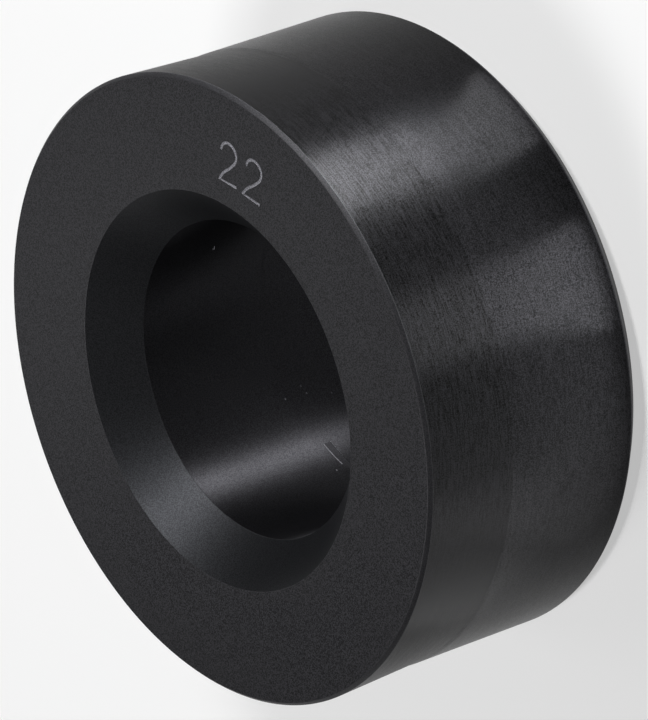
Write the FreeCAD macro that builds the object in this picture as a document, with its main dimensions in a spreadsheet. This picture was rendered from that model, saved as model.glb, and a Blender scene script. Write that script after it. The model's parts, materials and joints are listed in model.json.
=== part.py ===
import FreeCAD, Part
import os
import Sketcher

# Guide bushing: one hardened steel ring, turned and ground, then blackened.
# It stands on its flat back face. The origin is the centre of that face, and +Z runs
# along the bore towards the front face with the large lead-in cone. Sizes are in mm.

NODE = "guide_bushing"
TOUCH = 1e-4

# Driving dimensions
DIMENSIONS = [
    ("overall_length", 18.8, "back face to front face"),
    ("bore_diameter", 22.0, "guiding bore"),
    ("lead_in_depth", 2.8, "depth of the lead-in cone, from the front face"),
    ("lead_in_angle", 45.0, "slope of the lead-in cone from the axis, in degrees"),
    ("relief_step", 0.03, "relief below the wall of the bore"),
    ("relief_depth", 5.85, "length of the relief, from the back face"),
    ("seat_diameter", 42.9, "cylindrical seat that goes into the plate"),
    ("band_length", 7.4, "length of the tapered front band"),
    ("band_rise", 0.275, "front band above the seat, at the front face"),
    ("band_drop", 0.06, "front band below the seat, where the two meet"),
    ("front_edge_break", 0.25, "edge break of the front band"),
    ("rear_edge_chamfer", 1.1, "chamfer that starts the seat in its hole"),
    ("rear_bore_break", 0.1, "edge break of the bore at the back face"),
]

document = FreeCAD.newDocument("GuideBushing")
sheet = document.addObject("Spreadsheet::Sheet", "Dimensions")
for row, (alias, value, meaning) in enumerate(DIMENSIONS, start=1):
    sheet.set(f"A{row}", meaning)
    sheet.set(f"B{row}", str(value))
    sheet.setAlias(f"B{row}", alias)
document.recompute()

bushing = document.addObject("PartDesign::Body", "GuideBushing")
bushing.Label = NODE
bushing.Placement = FreeCAD.Placement()


def origin_feature(role):
    """The plane or axis of the body's own origin that has this role."""
    return next(item for item in bushing.Origin.OriginFeatures if item.Role == role)


def size_of(expression):
    """The present value of an expression in the sheet's dimensions."""
    return float(bushing.evalExpression(expression))


def half_section(name, corners):
    """A closed half section in the XZ plane, drawn through (radius, height) corners.

    Each radius and height is an expression in the sheet's dimensions.
    """
    sketch = bushing.newObject("Sketcher::SketchObject", name)
    sketch.AttachmentSupport = [(origin_feature("XZ_Plane"), "")]
    sketch.MapMode = "FlatFace"
    places = [FreeCAD.Vector(size_of(radius), size_of(height), 0) for radius, height in corners]
    for start, end in zip(places, places[1:] + places[:1]):
        sketch.addGeometry(Part.LineSegment(start, end), False)
    count = len(corners)
    for line in range(count):
        sketch.addConstraint(Sketcher.Constraint("Coincident", line, 2, (line + 1) % count, 1))
    for line, ((radius, height), place) in enumerate(zip(corners, places)):
        for kind, expression, value in (("DistanceX", radius, place.x), ("DistanceY", height, place.y)):
            if expression == "0":
                sketch.addConstraint(Sketcher.Constraint("PointOnObject", line, 1, -1))
                continue
            number = sketch.addConstraint(Sketcher.Constraint(kind, -1, 1, line, 1, value))
            sketch.setExpression(f"Constraints[{number}]", expression)
    return sketch


def turn(kind, name, corners):
    """Turn a half section round the bore's axis, to add it or to cut it away."""
    sketch = half_section(name + "_section", corners)
    feature = bushing.newObject(kind, name)
    feature.Profile = sketch
    feature.ReferenceAxis = (sketch, ["V_Axis"])
    feature.Angle = 360.0
    sketch.Visibility = False
    document.recompute()
    return feature


def rim(feature, radius, height):
    """The name of the circular edge of a feature with this radius at this height."""
    for number, edge in enumerate(feature.Shape.Edges, start=1):
        curve = edge.Curve
        if not isinstance(curve, Part.Circle):
            continue
        if abs(curve.Radius - radius) < TOUCH and abs(curve.Center.z - height) < TOUCH:
            return f"Edge{number}"
    raise RuntimeError(f"no rim of radius {radius} at height {height}")


def chamfer(name, base, radius, height, size):
    """Chamfer the rim of a feature at this radius and height by a size from the sheet."""
    feature = bushing.newObject("PartDesign::Chamfer", name)
    feature.Base = (base, [rim(base, size_of(radius), size_of(height))])
    feature.setExpression("Size", size)
    document.recompute()
    return feature


# Radii of the walls, as expressions in the sheet
BORE = "Dimensions.bore_diameter / 2"
LEAD_IN = BORE + " + Dimensions.lead_in_depth * tan(Dimensions.lead_in_angle * 1 deg)"
RELIEF = BORE + " + Dimensions.relief_step"
SEAT = "Dimensions.seat_diameter / 2"
BAND_FRONT = SEAT + " + Dimensions.band_rise"
BAND_REAR = SEAT + " - Dimensions.band_drop"

# Heights of the faces above the back face
BACK = "0"
FRONT = "Dimensions.overall_length"
RELIEF_END = "Dimensions.relief_depth"
BAND_END = FRONT + " - Dimensions.band_length"
LEAD_IN_END = FRONT + " - Dimensions.lead_in_depth"

# The ring: straight bore, cylindrical seat and slightly tapered front band
ring = turn("PartDesign::Revolution", "ring", [
    (BORE, BACK),
    (SEAT, BACK),
    (SEAT, BAND_END),
    (BAND_REAR, BAND_END),
    (BAND_FRONT, FRONT),
    (BORE, FRONT),
])

# The lead-in cone, cut from the front face
lead_in = turn("PartDesign::Groove", "lead_in", [
    (BORE, LEAD_IN_END),
    (LEAD_IN, FRONT),
    (BORE, FRONT),
])

# The relief at the rear end of the bore, bored from the back face
relief = turn("PartDesign::Groove", "relief", [
    (BORE, BACK),
    (RELIEF, BACK),
    (RELIEF, RELIEF_END),
    (BORE, RELIEF_END),
])

# Edge breaks at the three open rims
rear_edge = chamfer("rear_edge", relief, SEAT, BACK, "Dimensions.rear_edge_chamfer")
front_edge = chamfer("front_edge", rear_edge, BAND_FRONT, FRONT, "Dimensions.front_edge_break")
rear_bore_edge = chamfer("rear_bore_edge", front_edge, RELIEF, BACK, "Dimensions.rear_bore_break")
bushing.Tip = rear_bore_edge
document.recompute()

for item in document.Objects:
    if "Invalid" in item.State or "Error" in item.State:
        raise RuntimeError(f"{item.Name} failed: {item.State}")
if not lead_in.Shape.Volume < ring.Shape.Volume or not relief.Shape.Volume < lead_in.Shape.Volume:
    raise RuntimeError("a cut in the bore took nothing away")
if bushing.Shape.isNull() or not bushing.Shape.isValid() or len(bushing.Shape.Solids) != 1:
    raise RuntimeError("the bushing is not one valid solid")

os.makedirs("parts", exist_ok=True)
bushing.Shape.exportStep(os.path.join("parts", bushing.Label + ".step"))
box = bushing.Shape.BoundBox
print(f"{bushing.Label}: {box.XLength:.3f} x {box.YLength:.3f} x {box.ZLength:.3f} mm,",
      f"{bushing.Shape.Volume:.1f} mm3")
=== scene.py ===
import json
from math import cos, hypot, radians, sin, tau

import bpy
from mathutils import Matrix, Quaternion, Vector


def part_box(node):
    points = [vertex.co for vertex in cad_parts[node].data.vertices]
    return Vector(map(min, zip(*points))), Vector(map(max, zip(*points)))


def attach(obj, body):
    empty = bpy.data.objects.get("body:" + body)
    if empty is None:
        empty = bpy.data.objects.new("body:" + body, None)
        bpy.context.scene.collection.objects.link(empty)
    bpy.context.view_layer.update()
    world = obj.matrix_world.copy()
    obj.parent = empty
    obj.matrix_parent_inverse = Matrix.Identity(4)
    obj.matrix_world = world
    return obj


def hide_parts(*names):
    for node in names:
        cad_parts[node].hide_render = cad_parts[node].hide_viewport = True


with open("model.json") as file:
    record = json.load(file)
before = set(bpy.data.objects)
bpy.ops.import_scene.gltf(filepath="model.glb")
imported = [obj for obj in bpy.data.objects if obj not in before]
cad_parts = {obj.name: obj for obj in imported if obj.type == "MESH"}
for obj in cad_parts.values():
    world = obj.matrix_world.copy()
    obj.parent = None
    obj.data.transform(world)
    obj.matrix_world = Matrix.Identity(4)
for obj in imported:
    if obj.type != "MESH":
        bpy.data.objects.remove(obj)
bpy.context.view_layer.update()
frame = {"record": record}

scene = bpy.context.scene

# The turned ring
# One ring of hardened steel, turned in a lathe and then ground on its walls. It is drawn rim by
# rim: up the lead-in cone, over the front face, down the outside and back up through the bore.
MM = 0.001
SPOKES = 360
mounts = {mount["name"]: mount["dims"] for mount in frame["record"]["mounts"]}
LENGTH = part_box("guide_bushing")[1].z
BORE = mounts["bore"]["r_mm"] * MM
SEAT = mounts["seat"]["r_mm"] * MM
LEAD_IN = 2.8 * MM
RELIEF_STEP = 0.03 * MM
RELIEF_DEPTH = 5.85 * MM
BAND_LENGTH = 7.4 * MM
BAND_RISE = 0.275 * MM
BAND_DROP = 0.06 * MM
STEP_LENGTH = 0.25 * MM
FRONT_EDGE = 0.25 * MM
REAR_EDGE = 1.1 * MM
REAR_BORE_EDGE = 0.1 * MM

MOUTH = BORE + LEAD_IN
RELIEF = BORE + RELIEF_STEP
BAND_FRONT = SEAT + BAND_RISE
BAND_REAR = SEAT - BAND_DROP
BAND_END = LENGTH - BAND_LENGTH
TAPER = (BAND_FRONT - BAND_REAR) / BAND_LENGTH
LEAD_IN_END = LENGTH - LEAD_IN

rims = {
    "throat": (BORE, LEAD_IN_END),
    "mouth": (MOUTH, LENGTH),
    "face_rim": (BAND_FRONT - FRONT_EDGE, LENGTH),
    "band_front": (BAND_FRONT - FRONT_EDGE * TAPER, LENGTH - FRONT_EDGE),
    "band_end": (BAND_REAR, BAND_END),
    "seat_front": (SEAT, BAND_END - STEP_LENGTH),
    "seat_rear": (SEAT, REAR_EDGE),
    "back_rim": (SEAT - REAR_EDGE, 0.0),
    "back_bore": (RELIEF + REAR_BORE_EDGE, 0.0),
    "relief_rear": (RELIEF, REAR_BORE_EDGE),
    "relief_front": (RELIEF, RELIEF_DEPTH),
    "bore_rear": (BORE, RELIEF_DEPTH),
}

bpy.ops.object.select_all(action="DESELECT")
bpy.ops.mesh.primitive_circle_add(vertices=SPOKES, radius=BORE, location=(0, 0, LEAD_IN_END))
ring = bpy.context.object
ring.name = "turned_ring"
bpy.ops.object.transform_apply(location=True, rotation=False, scale=False)
bpy.ops.object.mode_set(mode="EDIT")
bpy.ops.mesh.select_mode(type="EDGE")
bpy.ops.mesh.select_all(action="SELECT")
places = list(rims.values())
for (radius, height), (next_radius, next_height) in zip(places, places[1:]):
    bpy.ops.mesh.extrude_edges_move(
        TRANSFORM_OT_translate={"value": (0, 0, next_height - height)})
    widening = next_radius / radius
    bpy.ops.transform.resize(value=(widening, widening, 1), center_override=(0, 0, 0))
bpy.ops.mesh.select_all(action="DESELECT")
bpy.ops.mesh.select_non_manifold()
bpy.ops.mesh.bridge_edge_loops()
bpy.ops.mesh.select_all(action="SELECT")
bpy.ops.mesh.normals_make_consistent(inside=False)
bpy.ops.object.mode_set(mode="OBJECT")

ZONES = ["cone", "face", "edges", "band", "seat", "back", "bore", "relief"]
STEEP = 0.5
LEVEL = 0.9
for zone in ZONES:
    ring.data.materials.append(bpy.data.materials.new(zone))


def zone_of(face):
    """The surface of the ring that a face belongs to, from its place and its normal."""
    radius = hypot(face.center.x, face.center.y)
    height = face.center.z
    upright = face.normal.z
    if abs(upright) < STEEP:
        if radius > MOUTH:
            return "band" if height > BAND_END else "seat"
        return "bore" if height > RELIEF_DEPTH else "relief"
    if upright > LEVEL and height > LEAD_IN_END:
        return "face"
    if upright > STEEP and radius < MOUTH:
        return "cone"
    if upright < -LEVEL and radius < SEAT:
        return "back"
    return "edges"


for face in ring.data.polygons:
    face.material_index = ZONES.index(zone_of(face))

# Edges
# The tool leaves each rim sharp, and a quick stroke of emery takes the burr off. The breaks are
# from two hundredths to a tenth of a millimetre wide, and catch the light as thin lines.
BREAKS = {
    "throat": 0.03 * MM,
    "mouth": 0.02 * MM,
    "face_rim": 0.03 * MM,
    "band_front": 0.04 * MM,
    "seat_rear": 0.10 * MM,
    "back_rim": 0.10 * MM,
    "back_bore": 0.03 * MM,
    "relief_rear": 0.03 * MM,
}
BREAK_STEPS = 3
TOUCH = 0.002 * MM


def select_rim(piece, radius, height):
    """Select the edges of one rim, and nothing else."""
    corners = piece.data.vertices
    for item in list(corners) + list(piece.data.edges) + list(piece.data.polygons):
        item.select = False
    on_rim = {
        corner.index for corner in corners
        if abs(hypot(corner.co.x, corner.co.y) - radius) < TOUCH and abs(corner.co.z - height) < TOUCH
    }
    for edge in piece.data.edges:
        edge.select = set(edge.vertices) <= on_rim


for rim, width in BREAKS.items():
    select_rim(ring, *rims[rim])
    bpy.ops.object.mode_set(mode="EDIT")
    bpy.ops.mesh.bevel(offset=width, segments=BREAK_STEPS, material=ZONES.index("edges"))
    bpy.ops.object.mode_set(mode="OBJECT")

# Size number
# The bore's size is engraved on the front face with a single-line tool, which leaves two shallow
# digits with a round bottom. Each is one stroke: a hook, a bowl, a slant and a straight foot.
STROKE = 0.21 * MM
STROKE_STEPS = 16
STROKE_ROUNDING = 3
STROKE_SEAM = 0.001 * MM
ENGRAVED_DEPTH = 0.05 * MM
NUMBER_BASE = 15.5 * MM
DIGITS = [
    {"turn": -35.6, "lean": 0.0, "lift": 0.0},
    {"turn": -44.5, "lean": 4.0, "lift": 0.03 * MM},
]
DIGIT_LINE = [
    (-0.89, 2.10, "AUTO"),
    (-0.66, 2.59, "AUTO"),
    (-0.08, 2.79, "AUTO"),
    (0.58, 2.42, "AUTO"),
    (0.66, 1.88, "AUTO"),
    (0.23, 1.23, "AUTO"),
    (-0.55, 0.48, "AUTO"),
    (-0.87, -0.04, "VECTOR"),
    (0.88, 0.00, "VECTOR"),
]


def cut_with(piece, cutter, material):
    """Cut a piece with another one, which leaves its material on the cut and is then deleted."""
    cutter.data.materials.clear()
    cutter.data.materials.append(material)
    bpy.ops.object.select_all(action="DESELECT")
    piece.select_set(True)
    bpy.context.view_layer.objects.active = piece
    bpy.ops.object.modifier_add(type="BOOLEAN")
    cut = piece.modifiers[-1]
    cut.operation = "DIFFERENCE"
    cut.solver = "MANIFOLD"
    cut.material_mode = "TRANSFER"
    cut.object = cutter
    bpy.ops.object.modifier_apply(modifier=cut.name)
    bpy.data.objects.remove(cutter)


def digit_stroke(turn, lean, lift):
    """The round-bottomed stroke of one digit 2, standing on the number's base line."""
    bpy.ops.object.select_all(action="DESELECT")
    bpy.ops.curve.primitive_bezier_curve_add(location=(0, 0, 0))
    stroke = bpy.context.object
    line = stroke.data.splines[0]
    line.bezier_points.add(len(DIGIT_LINE) - len(line.bezier_points))
    for point, (across, up, handle) in zip(line.bezier_points, DIGIT_LINE):
        point.co = (across * MM, up * MM + lift, 0)
        point.handle_left_type = point.handle_right_type = handle
    stroke.data.resolution_u = STROKE_STEPS
    stroke.data.bevel_depth = STROKE / 2
    stroke.data.bevel_resolution = STROKE_ROUNDING
    stroke.data.use_fill_caps = True
    bpy.ops.object.convert(target="MESH")
    stroke.scale.z = ENGRAVED_DEPTH / (STROKE / 2)
    stroke.rotation_euler.z = turn + lean - tau / 4
    stroke.location = (NUMBER_BASE * cos(turn), NUMBER_BASE * sin(turn), LENGTH)
    bpy.ops.object.transform_apply(location=True, rotation=True, scale=True)
    bpy.ops.object.mode_set(mode="EDIT")
    bpy.ops.mesh.select_all(action="SELECT")
    bpy.ops.mesh.remove_doubles(threshold=STROKE_SEAM)
    bpy.ops.mesh.normals_make_consistent(inside=False)
    bpy.ops.object.mode_set(mode="OBJECT")
    return stroke


engraved = bpy.data.materials.new("engraved")
for digit in DIGITS:
    stroke = digit_stroke(radians(digit["turn"]), radians(digit["lean"]), digit["lift"])
    cut_with(ring, stroke, engraved)

# Tool mark and scratches
# Near the rear end of the bore a cutter has touched the wall on its way out. It has left a
# shallow groove, whose bottom is a darker tone as painted shade and whose rims are a light tone as a
# painted highlight. The wall also has a few short scratches.
MARK_HEIGHT = 5.07 * MM
# The groove's bottom has a darker tone than the bore, a painted shade in the groove.
GROOVE = {"middle": 138.0, "radius": 10.4 * MM, "depth": 0.029 * MM, "bottom": -0.57 * MM, "top": 0.0}
# The rims of the tool mark are cut with a light finish, a painted highlight for the glint along them.
GLINT_RIMS = [
    {"middle": 127.0, "radius": 9.8 * MM, "depth": 0.006 * MM, "bottom": -0.01 * MM, "top": 0.08 * MM},
    {"middle": 125.0, "radius": 9.8 * MM, "depth": 0.003 * MM, "bottom": -0.58 * MM, "top": -0.56 * MM},
]
SCRATCHES = [
    {"turn": 34.0, "height": 10.76 * MM, "length": 0.50 * MM},
    {"turn": 98.0, "height": 4.25 * MM, "length": 0.15 * MM},
    {"turn": 100.6, "height": 5.90 * MM, "length": 0.15 * MM},
    {"turn": 101.1, "height": 4.07 * MM, "length": 0.12 * MM},
    {"turn": 103.9, "height": 2.14 * MM, "length": 0.15 * MM},
    {"turn": 134.4, "height": 5.92 * MM, "length": 0.15 * MM},
]
SCRATCH_WIDTH = 0.13 * MM
SCRATCH_DEPTH = 0.03 * MM
SEED_SIDES = 24
SEED_RINGS = 12


def cutting_disc(middle, radius, depth, bottom, top):
    """A level disc that reaches into the wall of the bore by a depth, at the tool mark."""
    bpy.ops.object.select_all(action="DESELECT")
    bpy.ops.mesh.primitive_cylinder_add(vertices=SPOKES, radius=radius, depth=top - bottom)
    disc = bpy.context.object
    height = MARK_HEIGHT + (top + bottom) / 2
    disc.data.transform(Matrix.Translation((RELIEF + depth - radius, 0, height)))
    disc.data.transform(Matrix.Rotation(radians(middle), 4, "Z"))
    return disc


def scratch_cutter(turn, height, length):
    """A flat seed, half sunk in the wall of the bore, with its length along the wall's round."""
    wall = BORE if height > RELIEF_DEPTH else RELIEF
    bpy.ops.object.select_all(action="DESELECT")
    bpy.ops.mesh.primitive_uv_sphere_add(segments=SEED_SIDES, ring_count=SEED_RINGS, radius=1.0)
    seed = bpy.context.object
    seed.data.transform(Matrix.Diagonal((SCRATCH_DEPTH, length / 2, SCRATCH_WIDTH / 2, 1)))
    seed.data.transform(Matrix.Translation((wall, 0, height)))
    seed.data.transform(Matrix.Rotation(radians(turn), 4, "Z"))
    return seed


rim_glint = bpy.data.materials.new("rim_glint")
mark = bpy.data.materials.new("mark")
scratch = bpy.data.materials.new("scratch")
for rim in GLINT_RIMS:
    cut_with(ring, cutting_disc(**rim), rim_glint)
cut_with(ring, cutting_disc(**GROOVE), mark)
for place in SCRATCHES:
    cut_with(ring, scratch_cutter(**place), scratch)

# Smooth walls
# The turned walls are round and shade smoothly. The cut edges are sharp, also where a cut meets
# a wall at a small angle.
SHARP_ANGLE = radians(30)
bpy.ops.object.shade_smooth_by_angle(angle=SHARP_ANGLE)
edge_faces = {}
for face in ring.data.polygons:
    for key in face.edge_keys:
        edge_faces.setdefault(key, []).append(face.material_index)
cuts = {ring.data.materials.find(material.name) for material in (engraved, rim_glint, mark, scratch)}
for edge in ring.data.edges:
    beside = set(edge_faces[edge.key])
    if len(beside) > 1 and beside & cuts:
        edge.use_edge_sharp = True
bpy.ops.object.modifier_add(type="WEIGHTED_NORMAL")
ring.modifiers[-1].keep_sharp = True
bpy.ops.object.modifier_apply(modifier=ring.modifiers[-1].name)

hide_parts("guide_bushing")
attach(ring, "root")

# Finish of the steel
# The hardened steel is blackened in a hot salt bath, which leaves a thin dark oxide with a
# trace of oil in it. The oxide is matt on the faces and follows the grinding lines on the walls.
# Bare steel shows only in the number and in the scratches. The rims of the tool mark get a light tone, a
# painted highlight.
FINISHES = {
    "cone": {
        "name": "lead_in_cone", "tone": 0.032, "roughness": 0.44, "grain": 0.28, "polish": 0.035,
        "tint": (0.955, 0.985, 1.085),
    },
    "face": {"name": "front_face", "tone": 0.0285, "roughness": 0.50, "grain": 0.58},
    "edges": {"name": "edge_breaks", "tone": 0.034, "roughness": 0.52, "grain": 0.30, "metal": 0.4},
    "band": {
        "name": "front_band", "tone": 0.0086, "roughness": 0.39, "grain": 0.92,
        "turned": 0.82, "lines": 0.4, "gloss": 0.1, "edge": 0.85,
    },
    "seat": {
        "name": "press_seat", "tone": 0.0098, "roughness": 0.335, "grain": 0.72, "polish": 0.08,
        "turned": 0.64, "lines": 0.25, "gloss": 0.1, "edge": 0.78,
    },
    "back": {"name": "back_face", "tone": 0.0285, "roughness": 0.50, "grain": 0.58},
    "bore": {
        "name": "guiding_bore", "tone": 0.060, "roughness": 0.50, "grain": 0.32,
        "turned": 1.0, "metal": 0.9,
    },
    "relief": {
        "name": "bore_relief", "tone": 0.057, "roughness": 0.50, "grain": 0.32,
        "turned": 1.0, "metal": 0.9,
    },
    "engraved": {
        "name": "engraved_number", "tone": 0.20, "roughness": 0.60, "grain": 0.50, "metal": 0.3,
    },
    # A light tone on the tool mark's rims, a painted highlight.
    "rim_glint": {"name": "painted_glint_rim", "tone": 0.33, "roughness": 0.60, "grain": 0.30, "metal": 0.3},
    # A darker tone than the bore, a painted shade in the groove.
    "mark": {
        "name": "tool_mark_painted_shade", "tone": 0.045, "roughness": 0.50, "grain": 0.25,
        "turned": 0.9, "metal": 0.9,
    },
    "scratch": {"name": "bare_scratch", "tone": 0.25, "roughness": 0.60, "grain": 0.30, "metal": 0.3},
}
OXIDE_TINT = (0.98, 0.975, 1.075)
GRAIN = 13.0 / MM
LINES_ALONG = 0.8 / MM
LINES_ACROSS = 9.0 / MM
FACE_RELIEF = 0.012 * MM
WALL_RELIEF = 0.001 * MM
TONE_RANGE = (0.4, 0.6)
ROUGHNESS_RANGE = (0.3, 0.7)


def tinted(tint, share):
    """A tint at a share of full white, as an opaque colour."""
    return (*(share * channel for channel in tint), 1)


def add_noise(material, scale, stretch, detail):
    """A noise on the piece's own coordinates, finer or longer along each axis by the stretch."""
    nodes, links = material.node_tree.nodes, material.node_tree.links
    place = nodes.new("ShaderNodeTexCoord")
    fit = nodes.new("ShaderNodeMapping")
    fit.inputs["Scale"].default_value = stretch
    noise = nodes.new("ShaderNodeTexNoise")
    noise.inputs["Scale"].default_value = scale
    noise.inputs["Detail"].default_value = detail
    links.new(place.outputs["Object"], fit.inputs["Vector"])
    links.new(fit.outputs["Vector"], noise.inputs["Vector"])
    return noise.outputs["Fac"]


def add_range(material, value, lowest, highest, least, most):
    """The value, carried over from one range of numbers to another."""
    ranged = material.node_tree.nodes.new("ShaderNodeMapRange")
    ranged.inputs["From Min"].default_value = lowest
    ranged.inputs["From Max"].default_value = highest
    ranged.inputs["To Min"].default_value = least
    ranged.inputs["To Max"].default_value = most
    material.node_tree.links.new(value, ranged.inputs["Value"])
    return ranged.outputs["Result"]


def add_blend(material, share, first, second):
    """A mix of two values by a plain share."""
    mix = material.node_tree.nodes.new("ShaderNodeMix")
    mix.inputs[0].default_value = share
    material.node_tree.links.new(first, mix.inputs[2])
    material.node_tree.links.new(second, mix.inputs[3])
    return mix.outputs[0]


def add_mix(material, share, first, second):
    """A mix of two colours by a share that another node gives."""
    mix = material.node_tree.nodes.new("ShaderNodeMix")
    mix.data_type = "RGBA"
    material.node_tree.links.new(share, mix.inputs["Factor"])
    mix.inputs[6].default_value = first
    mix.inputs[7].default_value = second
    return mix.outputs[2]


def blackened(zone, name, tone, roughness, grain, polish=-0.1, turned=0.0, lines=0.1, metal=0.8,
              gloss=0.2, edge=0.8, tint=OXIDE_TINT):
    """The blackened finish of one surface, with its grain and its turning lines.

    The polish is how much smoother than the rest the light specks of the grain are, the gloss is
    that of the oil, and the edge is how much of the sheen is left at a grazing angle.
    """
    material = bpy.data.materials[zone]
    material.name = name
    material.use_nodes = True
    nodes, links = material.node_tree.nodes, material.node_tree.links
    shader = nodes["Principled BSDF"]
    shader.inputs["Metallic"].default_value = metal
    shader.inputs["Specular IOR Level"].default_value = gloss
    shader.inputs["Anisotropic"].default_value = turned
    pattern = add_noise(material, GRAIN, (1, 1, 1), 1.0)
    if turned:
        shader.inputs["Specular Tint"].default_value = (edge, edge, edge, 1)
        grooves = add_noise(material, 1.0, (LINES_ALONG, LINES_ALONG, LINES_ACROSS), 2.0)
        pattern = add_blend(material, lines, pattern, grooves)
        along = nodes.new("ShaderNodeCombineXYZ")
        along.inputs["Z"].default_value = 1
        links.new(along.outputs["Vector"], shader.inputs["Tangent"])
    share = add_range(material, pattern, *TONE_RANGE, 0.0, 1.0)
    dark = tinted(tint, (1 - grain) * tone)
    light = tinted(tint, (1 + grain) * tone)
    colour = add_mix(material, share, dark, light)
    links.new(colour, shader.inputs["Base Color"])
    at_dark = roughness + polish * grain
    at_light = roughness - polish * grain
    rough = add_range(material, pattern, *ROUGHNESS_RANGE, at_dark, at_light)
    links.new(rough, shader.inputs["Roughness"])
    bump = nodes.new("ShaderNodeBump")
    bump.inputs["Distance"].default_value = grain * (WALL_RELIEF if turned else FACE_RELIEF)
    links.new(pattern, bump.inputs["Height"])
    links.new(bump.outputs["Normal"], shader.inputs["Normal"])


for zone, finish in FINISHES.items():
    blackened(zone, **finish)

# Floor
# A wide sheet of pale translucent board lies under the bushing. Its faint glow shows in the
# picture and in the steel, and lights nothing else.
FLOOR = 4.0
BOARD = (0.46, 0.46, 0.46, 1)
BOARD_ROUGHNESS = 0.9
GLOW = 0.48
bpy.ops.object.select_all(action="DESELECT")
bpy.ops.mesh.primitive_plane_add(size=FLOOR, location=(0, 0, 0))
floor = bpy.context.object
floor.name = "paper_floor"
board = bpy.data.materials.new("pale_paper")
board.use_nodes = True
nodes, links = board.node_tree.nodes, board.node_tree.links
shader = nodes["Principled BSDF"]
shader.inputs["Base Color"].default_value = BOARD
shader.inputs["Roughness"].default_value = BOARD_ROUGHNESS
shader.inputs["Emission Color"].default_value = (1, 1, 1, 1)
path = nodes.new("ShaderNodeLightPath")
seen = nodes.new("ShaderNodeMath")
seen.operation = "MAXIMUM"
links.new(path.outputs["Is Camera Ray"], seen.inputs[0])
links.new(path.outputs["Is Glossy Ray"], seen.inputs[1])
seen_through = nodes.new("ShaderNodeMath")
seen_through.operation = "MAXIMUM"
links.new(seen.outputs[0], seen_through.inputs[0])
links.new(path.outputs["Is Transmission Ray"], seen_through.inputs[1])
glow = nodes.new("ShaderNodeMath")
glow.operation = "MULTIPLY"
glow.inputs[1].default_value = GLOW
links.new(seen_through.outputs[0], glow.inputs[0])
links.new(glow.outputs[0], shader.inputs["Emission Strength"])
floor.data.materials.append(board)

# Camera
# A long lens, turned on its side, stands half a metre in front of the bushing and looks down on
# its front face at 36 degrees.
TARGET = Vector((-0.387, 0.100, 9.538)) * MM
PLACE = Vector((0.0, -500.0, 371.84)) * MM
ROLL = -109.14
LENS = 463.4
SENSOR = 36.0
bpy.ops.object.camera_add(location=PLACE)
camera = bpy.context.object
camera.name = "camera"
aim = (TARGET - PLACE).to_track_quat("-Z", "Y") @ Quaternion((0, 0, 1), radians(ROLL))
camera.rotation_euler = aim.to_euler()
camera.data.lens = LENS
camera.data.sensor_width = SENSOR
scene.camera = camera

# Light
# Four plain softboxes stand round the bushing: a key, and one each at the top, the back and low
# down. Strips on the floor give the upright walls their soft stripes. A pale wall stands all
# round, far behind the floor. Distances and sizes of lamps are in millimetres.
SOFTBOXES = [
    {"name": "key_softbox", "elevation": 37, "azimuth": -27, "away": 250, "size": 53, "watts": 0.515},
    {"name": "top_softbox", "elevation": 67, "azimuth": 140, "away": 400, "size": 110, "watts": 0.765},
    {"name": "back_softbox", "elevation": 37, "azimuth": 82, "away": 150, "size": 41, "watts": 0.0208},
    {"name": "low_softbox", "elevation": 11, "azimuth": 138, "away": 400, "size": 150, "watts": 0.042},
]
STRIPS = [
    {"name": "right_strip", "azimuth": -46.5, "gap": 26, "width": 12, "spread": 18, "watts": 0.0600},
    {"name": "front_strip", "azimuth": -92, "gap": 21, "width": 8, "spread": 22, "watts": 0.00180},
    {"name": "left_strip", "azimuth": -160, "gap": 15, "width": 12, "spread": 44, "watts": 0.00170},
    {"name": "near_right_strip", "azimuth": -55, "gap": 5.5, "width": 9, "spread": 17, "watts": 0.00110},
    {"name": "near_front_strip", "azimuth": -92.5, "gap": 8.5, "width": 14, "spread": 18, "watts": 0.00255},
    {"name": "near_left_strip", "azimuth": -124, "gap": 5, "width": 8, "spread": 60, "watts": 0.00060},
    {"name": "wide_strip", "azimuth": -106, "gap": 12, "width": 20, "spread": 100, "watts": 0.00480},
]
STRIP_HEIGHT = 0.5 * MM
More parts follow.
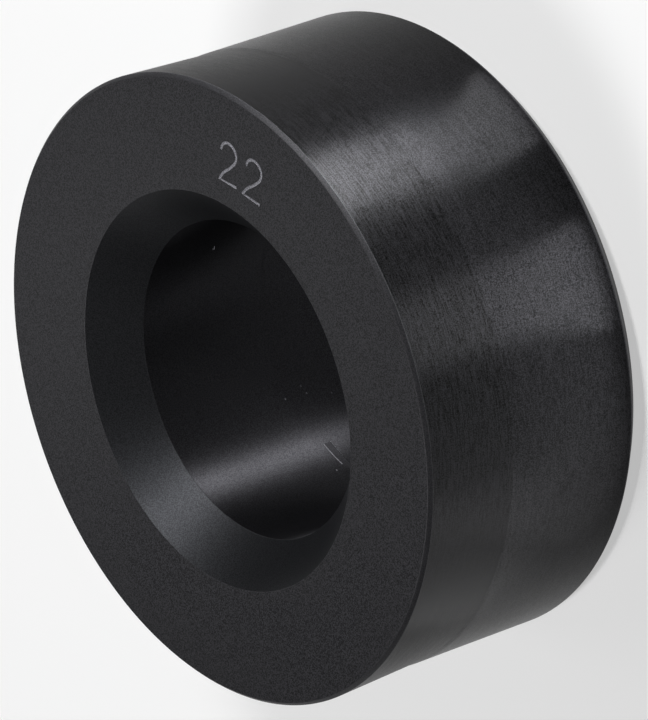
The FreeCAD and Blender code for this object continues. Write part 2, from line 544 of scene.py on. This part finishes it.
STRIP_STEP = 0.05 * MM


def area_lamp(name, size, size_y, watts):
    """An area lamp that the camera doesn't see."""
    bpy.ops.object.light_add(type="AREA")
    lamp = bpy.context.object
    lamp.name = name
    lamp.data.shape = "RECTANGLE"
    lamp.data.size = size
    lamp.data.size_y = size_y
    lamp.data.energy = watts
    lamp.visible_camera = False
    return lamp


for box in SOFTBOXES:
    rise = radians(box["elevation"])
    turn = radians(box["azimuth"])
    way = Vector((cos(rise) * cos(turn), cos(rise) * sin(turn), sin(rise)))
    lamp = area_lamp(box["name"], box["size"] * MM, box["size"] * MM, box["watts"])
    lamp.location = Vector((0, 0, LENGTH / 2)) + way * (box["away"] * MM)
    lamp.rotation_euler = way.to_track_quat("Z", "Y").to_euler()

# Each strip lies a little above the one before, because a ray that meets two lamps at the same
# height counts only one of them.
for number, strip in enumerate(STRIPS):
    turn = radians(strip["azimuth"])
    middle = SEAT + strip["gap"] * MM
    length = middle * radians(strip["spread"])
    lamp = area_lamp(strip["name"], strip["width"] * MM, length, strip["watts"])
    lamp.location = (middle * cos(turn), middle * sin(turn), STRIP_HEIGHT + number * STRIP_STEP)
    lamp.rotation_euler = (tau / 2, 0, turn)

WALL_GLOW = 0.75
WALL_BOTTOM = 0.04
WALL_TOP = 0.12
scene.view_settings.view_transform = "Standard"
world = bpy.data.worlds.new("studio")
scene.world = world
world.use_nodes = True
nodes, links = world.node_tree.nodes, world.node_tree.links
way_out = nodes.new("ShaderNodeTexCoord")
apart = nodes.new("ShaderNodeSeparateXYZ")
pale = nodes.new("ShaderNodeMapRange")
pale.inputs["From Min"].default_value = WALL_BOTTOM
pale.inputs["From Max"].default_value = WALL_TOP
pale.inputs["To Min"].default_value = WALL_GLOW
pale.inputs["To Max"].default_value = 0.0
links.new(way_out.outputs["Generated"], apart.inputs["Vector"])
links.new(apart.outputs["Z"], pale.inputs["Value"])
links.new(pale.outputs["Result"], nodes["Background"].inputs["Strength"])
nodes["Background"].inputs["Color"].default_value = (1, 1, 1, 1)
